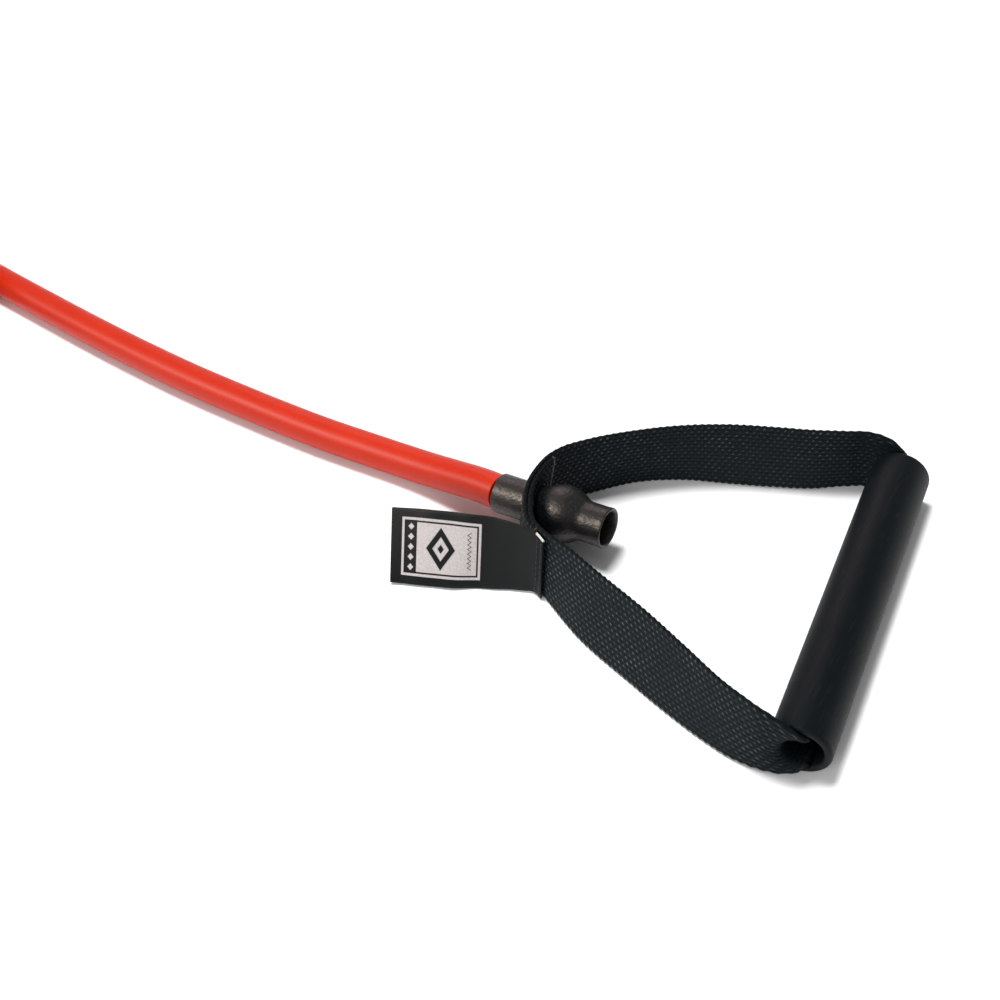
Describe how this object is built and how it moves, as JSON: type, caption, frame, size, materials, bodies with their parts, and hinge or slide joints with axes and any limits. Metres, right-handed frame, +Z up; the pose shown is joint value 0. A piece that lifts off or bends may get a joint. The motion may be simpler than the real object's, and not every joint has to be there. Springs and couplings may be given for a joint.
{
  "type": "resistance tube with handles",
  "caption": "Elastic exercise tube with a webbing loop and a straight hand grip at each end, ball-stopped rubber sleeves and a ribbon label.",
  "frame": {"origin": "on the floor, under the middle of the hole in the near webbing loop", "axes": "+X along the near sleeve towards the near grip, +Z up from the floor, +Y towards the near loop's upper leg"},
  "size_m": [0.7343, 0.1772, 0.0395],
  "materials": {
    "tube": "satin",
    "sleeve": "satin",
    "webbing": "woven",
    "grip": "satin",
    "ribbon": "satin",
    "thread": "matte",
    "ball": "gloss"
  },
  "bodies": {
    "tube": {"tube_run": "tube", "tube_coil": "tube", "tube_tail": "tube", "coil_tie": "webbing", "near_sleeve": "sleeve", "near_tube_end": "tube", "near_plug_ball": "ball", "far_sleeve": "sleeve", "far_tube_end": "tube", "far_plug_ball": "ball"},
    "near_eye": {"near_webbing_end_outer": "webbing", "near_webbing_end_inner": "webbing", "near_bar_tacks": "thread"},
    "near_loop": {"near_webbing_upper_leg": "webbing", "near_webbing_lower_leg": "webbing", "near_webbing_in_grip": "webbing"},
    "near_grip": {"near_grip": "grip"},
    "label": {"label_ribbon": "ribbon", "label_stitching": "thread"},
    "far_eye": {"far_webbing_end_outer": "webbing", "far_webbing_end_inner": "webbing", "far_bar_tacks": "thread"},
    "far_loop": {"far_webbing_upper_leg": "webbing", "far_webbing_lower_leg": "webbing", "far_webbing_in_grip": "webbing"},
    "far_grip": {"far_grip": "grip"}
  },
  "joints": [
    {"name": "near_swivel", "type": "hinge", "parent": "tube", "child": "near_eye", "pos_m": [0, 0, 0.0127], "axis": [1, 0, 0], "continuous": true},
    {"name": "near_swing", "type": "hinge", "parent": "near_eye", "child": "near_loop", "pos_m": [0, 0, 0.0127], "axis": [0, 0, 1], "range_deg": [-17, 10]},
    {"name": "near_grip_spin", "type": "hinge", "parent": "near_loop", "child": "near_grip", "pos_m": [0.11519, 0.00609, 0.01], "axis": [-0.1305, 0.9914, 0], "continuous": true},
    {"name": "label_flap", "type": "hinge", "parent": "near_loop", "child": "label", "pos_m": [0.0173, -0.0256, 0.0127], "axis": [0, 0, 1], "range_deg": [-5, 102]},
    {"name": "far_swivel", "type": "hinge", "parent": "tube", "child": "far_eye", "pos_m": [-0.476, 0.01, 0.0127], "axis": [-1, 0, 0], "continuous": true},
    {"name": "far_swing", "type": "hinge", "parent": "far_eye", "child": "far_loop", "pos_m": [-0.476, 0.01, 0.0127], "axis": [0, 0, 1], "range_deg": [-17, 17]},
    {"name": "far_grip_spin", "type": "hinge", "parent": "far_loop", "child": "far_grip", "pos_m": [-0.591, 0.019, 0.01], "axis": [0, 1, 0], "continuous": true}
  ]
}
